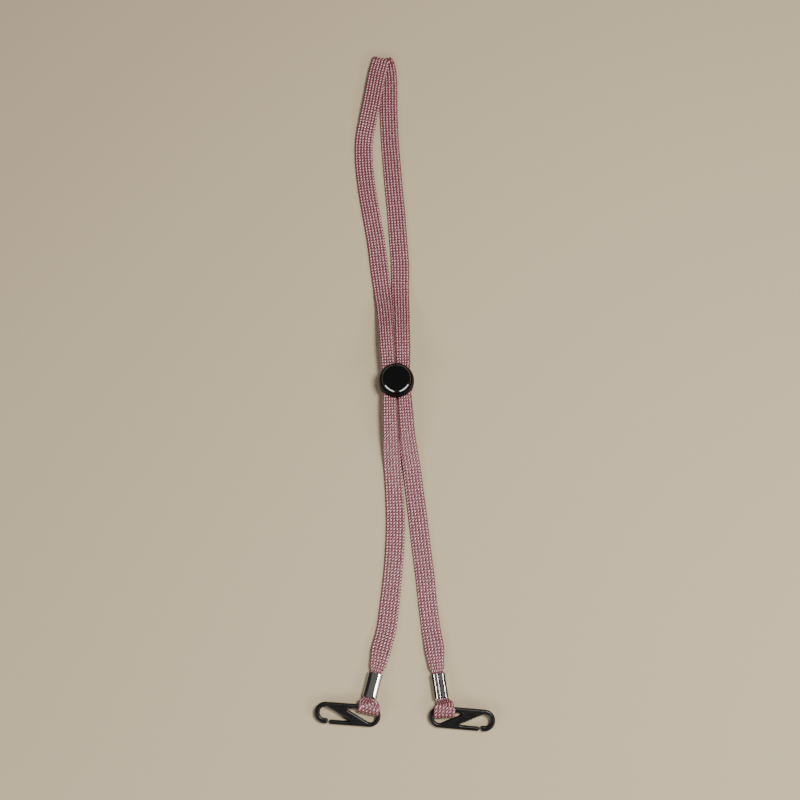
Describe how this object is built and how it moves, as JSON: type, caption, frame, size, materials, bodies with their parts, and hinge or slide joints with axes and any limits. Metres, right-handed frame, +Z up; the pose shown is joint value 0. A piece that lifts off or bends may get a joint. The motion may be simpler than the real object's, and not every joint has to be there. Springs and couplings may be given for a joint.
{
  "type": "adjustable two-hook lanyard",
  "caption": "Adjustable flat braided lanyard with a round push-button cord lock and a plastic snap hook crimped on each end.",
  "frame": {"origin": "centre of the cord lock's underside, on the table it lies on", "axes": "+Y along the two strands through the cord lock, towards the folded end; +Z up, away from the table"},
  "size_m": [0.0964, 0.396, 0.014],
  "materials": {
    "cord": "braided filament yarn, soft sheen",
    "crimp": "bright nickel plate",
    "hook": "satin-gloss moulded black",
    "gate": "satin-gloss moulded black",
    "lock_body": "gloss moulded black",
    "button": "fine matte black",
    "spring": "drawn spring wire"
  },
  "bodies": {
    "strap": {"cord_loop_left": "cord", "cord_lower_left": "cord", "cord_pass_left": "cord", "cord_upper_left": "cord", "cord_fold": "cord", "cord_upper_right": "cord", "cord_pass_right": "cord", "cord_lower_right": "cord", "cord_loop_right": "cord", "crimp_left": "crimp", "crimp_right": "crimp"},
    "lock": {"lock_body": "lock_body", "lock_spring": "spring"},
    "button": {"lock_button": "button"},
    "hook_left": {"hook_frame_left": "hook"},
    "gate_left": {"hook_gate_left": "gate"},
    "hook_right": {"hook_frame_right": "hook"},
    "gate_right": {"hook_gate_right": "gate"}
  },
  "joints": [
    {"name": "lock_travel", "type": "slide", "parent": "strap", "child": "lock", "axis": [0, 1, 0], "range_m": [-0.012, 0.012]},
    {"name": "lock_press", "type": "slide", "parent": "lock", "child": "button", "axis": [0, 0, 1], "range_m": [-0.0022, 0], "stiffness_N_per_m": 800, "springref_m": 0.003, "deforming": ["lock_spring"]},
    {"name": "swing_left", "type": "hinge", "parent": "strap", "child": "hook_left", "pos_m": [-0.024, -0.1786, 0.0034], "axis": [-0.9932, 0.1167, 0], "range_deg": [-75, 95]},
    {"name": "gate_spring_left", "type": "hinge", "parent": "hook_left", "child": "gate_left", "pos_m": [-0.03315, -0.18665, 0.00152], "axis": [0.0237, 0.2014, -0.9792], "range_deg": [0, 18], "stiffness_Nm_per_rad": 0.04, "springref_deg": -2.86},
    {"name": "swing_right", "type": "hinge", "parent": "strap", "child": "hook_right", "pos_m": [0.0182, -0.1813, 0.0038], "axis": [-0.9919, 0.1271, 0], "range_deg": [-75, 95]},
    {"name": "gate_spring_right", "type": "hinge", "parent": "hook_right", "child": "gate_right", "pos_m": [0.02505, -0.19122, 0.00153], "axis": [-0.0312, -0.2433, 0.9694], "range_deg": [0, 18], "stiffness_Nm_per_rad": 0.04, "springref_deg": -2.86}
  ]
}
